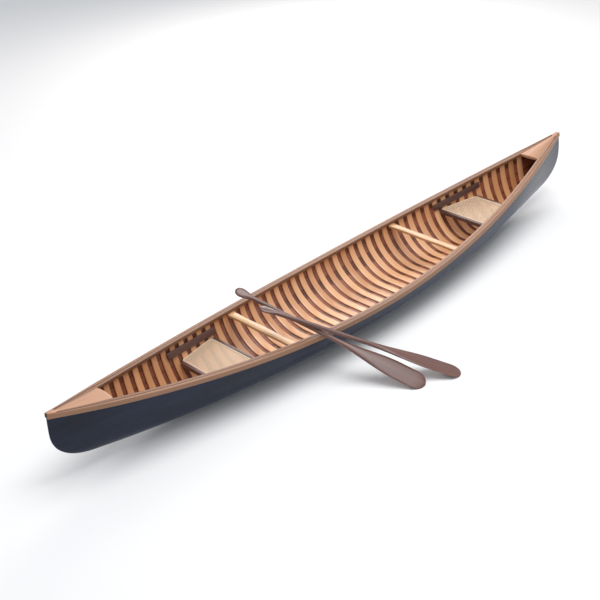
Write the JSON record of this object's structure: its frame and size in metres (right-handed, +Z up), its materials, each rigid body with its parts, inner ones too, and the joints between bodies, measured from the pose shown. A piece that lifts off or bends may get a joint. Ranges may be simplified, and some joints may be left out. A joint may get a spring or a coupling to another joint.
{
  "type": "canoe",
  "caption": "Double-ended wood-and-canvas canoe with ribbed interior, cane seats, thwarts and decks, and a pair of beavertail paddles leaning on its gunwale.",
  "frame": {"origin": "on the flat of the hull's bottom, amidships, on the centreline", "axes": "+X along the keel towards the stern, +Y to starboard, +Z up"},
  "size_m": [4.88, 1.5171, 0.5653],
  "materials": {
    "canvas_paint": "filled canvas under dark blue satin enamel",
    "planking_cedar": "thin red cedar boards, varnished",
    "rib_cedar": "steam-bent white cedar, gloss varnish",
    "stem_ash": "steam-bent ash, varnished",
    "inwale_ash": "varnished ash",
    "outwale_ash": "varnished ash, rounded edges",
    "deck_cherry": "varnished hardwood, cambered",
    "thwart_ash": "varnished ash, rounded edges",
    "seat_frame": "dark walnut, satin varnish",
    "seat_cane": "woven cane with small regular holes",
    "seat_cleat": "dark walnut, satin varnish",
    "paddle_wood": "dark hardwood, oiled"
  },
  "bodies": {
    "hull": {"canvas_skin": "canvas_paint", "deck_bow": "deck_cherry", "deck_stern": "deck_cherry", "inwale_port": "inwale_ash", "inwale_starboard": "inwale_ash", "outwale_port": "outwale_ash", "outwale_starboard": "outwale_ash", "planking": "planking_cedar", "rib_bow_01": "rib_cedar", "rib_bow_03": "rib_cedar", "rib_bow_05": "rib_cedar", "rib_bow_07": "rib_cedar", "rib_bow_09": "rib_cedar", "rib_bow_11": "rib_cedar", "rib_bow_13": "rib_cedar", "rib_bow_15": "rib_cedar", "rib_bow_17": "rib_cedar", "rib_bow_19": "rib_cedar", "rib_bow_21": "rib_cedar", "rib_bow_23": "rib_cedar", "rib_bow_25": "rib_cedar", "rib_stern_01": "rib_cedar", "rib_stern_03": "rib_cedar", "rib_stern_05": "rib_cedar", "rib_stern_07": "rib_cedar", "rib_stern_09": "rib_cedar", "rib_stern_11": "rib_cedar", "rib_stern_13": "rib_cedar", "rib_stern_15": "rib_cedar", "rib_stern_17": "rib_cedar", "rib_stern_19": "rib_cedar", "rib_stern_21": "rib_cedar", "rib_stern_23": "rib_cedar", "rib_stern_25": "rib_cedar", "seat_bow_cane": "seat_cane", "seat_bow_cleat_port": "seat_cleat", "seat_bow_cleat_starboard": "seat_cleat", "seat_bow_rail_front": "seat_frame", "seat_bow_rail_rear": "seat_frame", "seat_bow_stretcher_port": "seat_frame", "seat_bow_stretcher_starboard": "seat_frame", "seat_stern_cane": "seat_cane", "seat_stern_cleat_port": "seat_cleat", "seat_stern_cleat_starboard": "seat_cleat", "seat_stern_rail_front": "seat_frame", "seat_stern_rail_rear": "seat_frame", "seat_stern_stretcher_port": "seat_frame", "seat_stern_stretcher_starboard": "seat_frame", "stem_bow": "stem_ash", "stem_stern": "stem_ash", "thwart_aft": "thwart_ash", "thwart_forward": "thwart_ash"},
    "paddle_forward": {"paddle_forward": "paddle_wood"},
    "paddle_aft": {"paddle_aft": "paddle_wood"}
  },
  "joints": [
    {"name": "paddle_forward_lift", "type": "slide", "parent": "hull", "child": "paddle_forward", "axis": [0, 0, 1], "range_m": [0, 0.3]},
    {"name": "paddle_aft_lift", "type": "slide", "parent": "paddle_forward", "child": "paddle_aft", "axis": [0, 0, 1], "range_m": [0, 0.3]}
  ]
}
